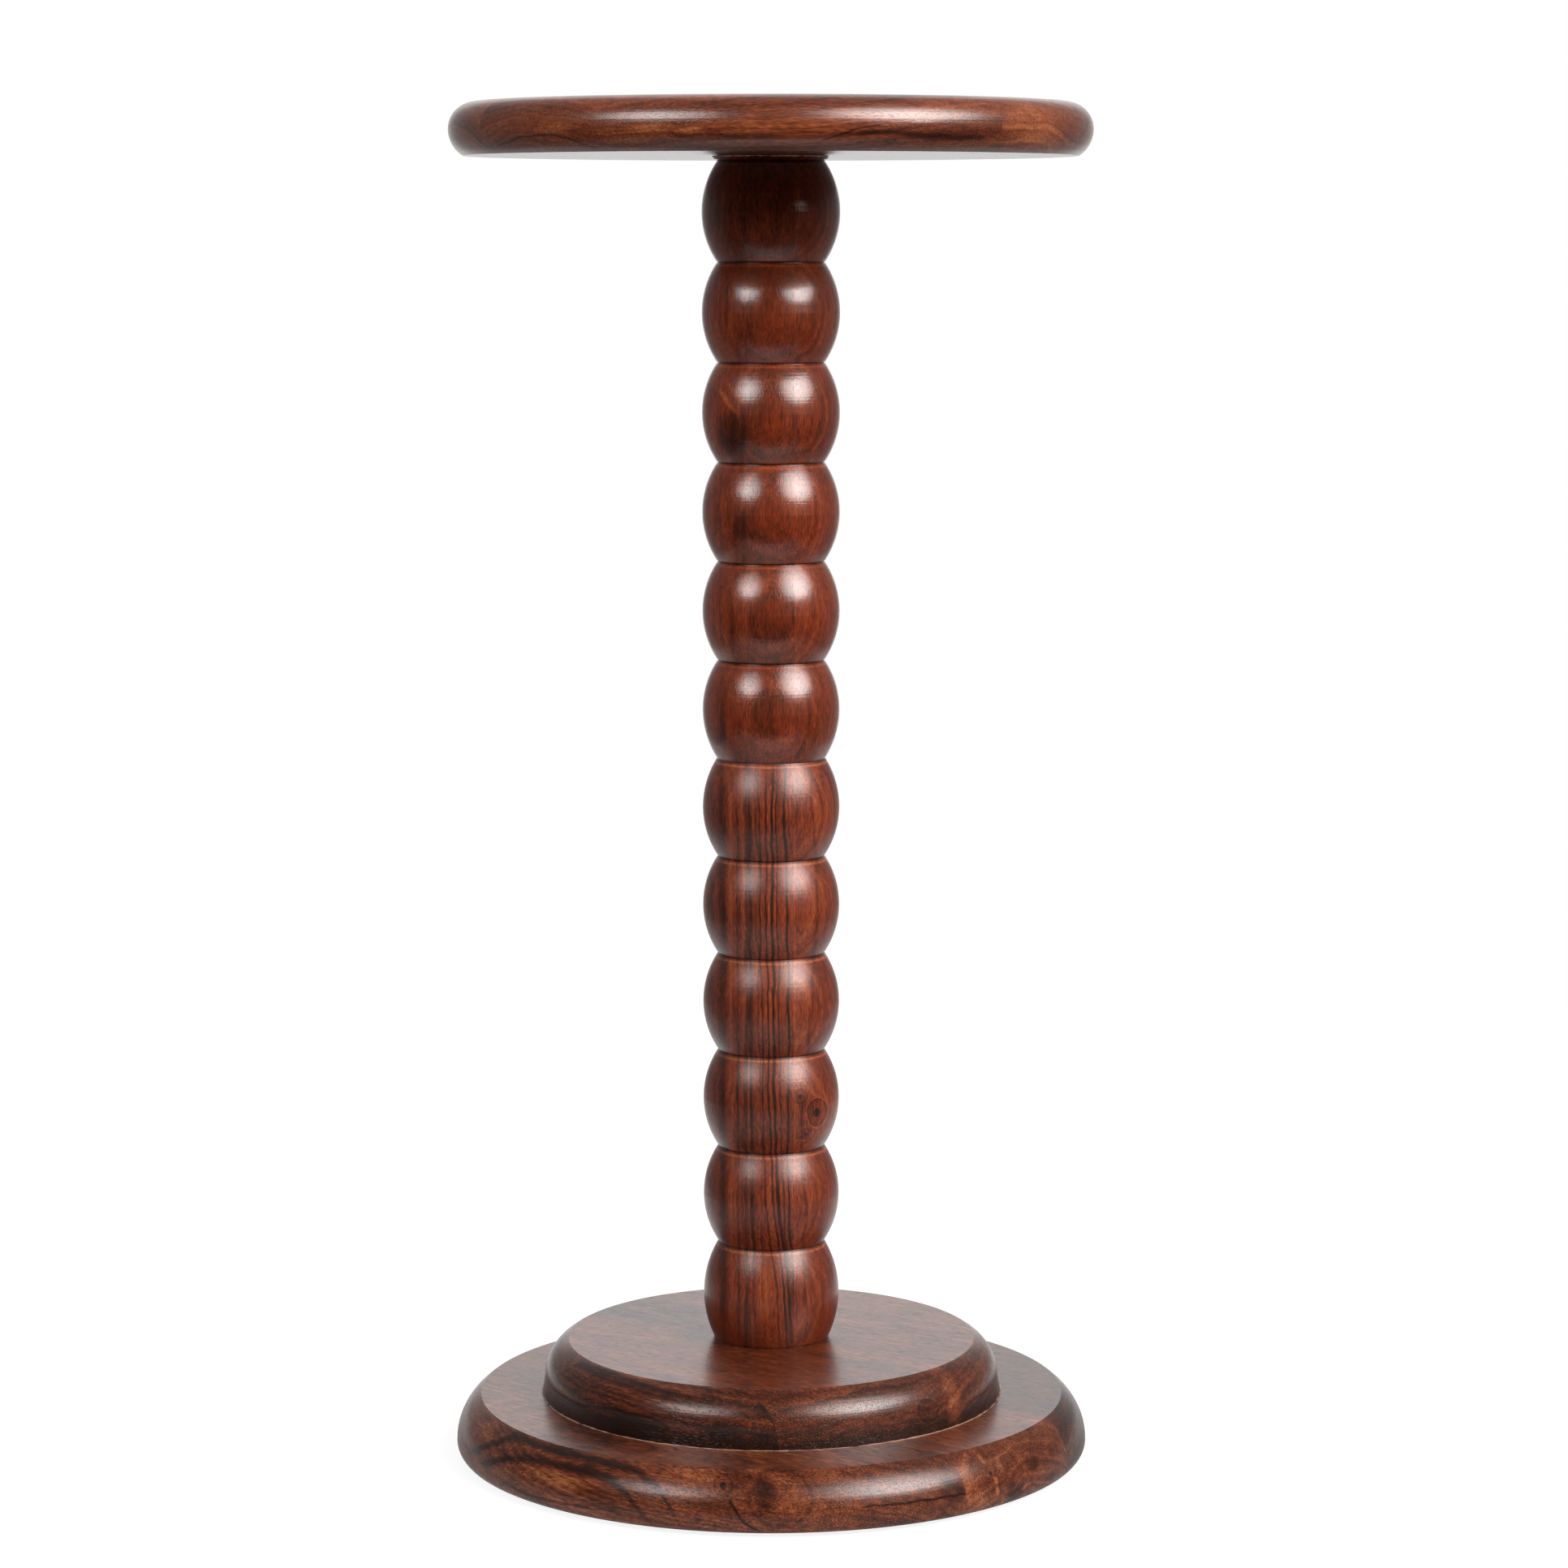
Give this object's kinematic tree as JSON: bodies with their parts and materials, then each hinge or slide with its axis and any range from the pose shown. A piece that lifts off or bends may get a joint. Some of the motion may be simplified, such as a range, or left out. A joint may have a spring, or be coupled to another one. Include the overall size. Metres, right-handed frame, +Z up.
{
  "type": "side table",
  "caption": "Small round pedestal side table with a bullnose wooden top, a slender column of turned beads and a stepped round foot.",
  "frame": {"origin": "on the floor, under the axis of the column, level with the underside of the felt pads", "axes": "+Z up along the column; -Y towards the front of the picture; +X to its right"},
  "size_m": [0.303, 0.303, 0.6423],
  "materials": {
    "top_wood": "reddish-brown stain under satin-gloss lacquer",
    "column_wood": "reddish-brown stain under gloss lacquer",
    "foot_wood": "reddish-brown stain under satin-gloss lacquer",
    "insert_brass": "turned",
    "zinc_steel": "zinc plated",
    "felt": "pressed felt"
  },
  "bodies": {
    "root": {"top_board_1": "top_wood", "top_board_2": "top_wood", "top_board_3": "top_wood", "top_board_4": "top_wood", "top_board_5": "top_wood", "top_board_6": "top_wood", "column_upper_board_1": "column_wood", "column_upper_board_2": "column_wood", "column_upper_board_3": "column_wood", "column_lower_board_1": "column_wood", "column_lower_board_2": "column_wood", "column_lower_board_3": "column_wood", "upper_tier_board_1": "foot_wood", "upper_tier_board_2": "foot_wood", "upper_tier_board_3": "foot_wood", "upper_tier_board_4": "foot_wood", "lower_tier_board_1": "foot_wood", "lower_tier_board_2": "foot_wood", "lower_tier_board_3": "foot_wood", "lower_tier_board_4": "foot_wood", "joint_insert_upper": "insert_brass", "joint_insert_lower": "insert_brass", "foot_insert": "insert_brass", "joint_stud": "zinc_steel", "foot_bolt": "zinc_steel", "foot_washer": "zinc_steel", "tier_screw_1": "zinc_steel", "tier_screw_2": "zinc_steel", "tier_screw_3": "zinc_steel", "tier_screw_4": "zinc_steel", "felt_pad_1": "felt", "felt_pad_2": "felt", "felt_pad_3": "felt", "felt_pad_4": "felt"}
  },
  "joints": []
}
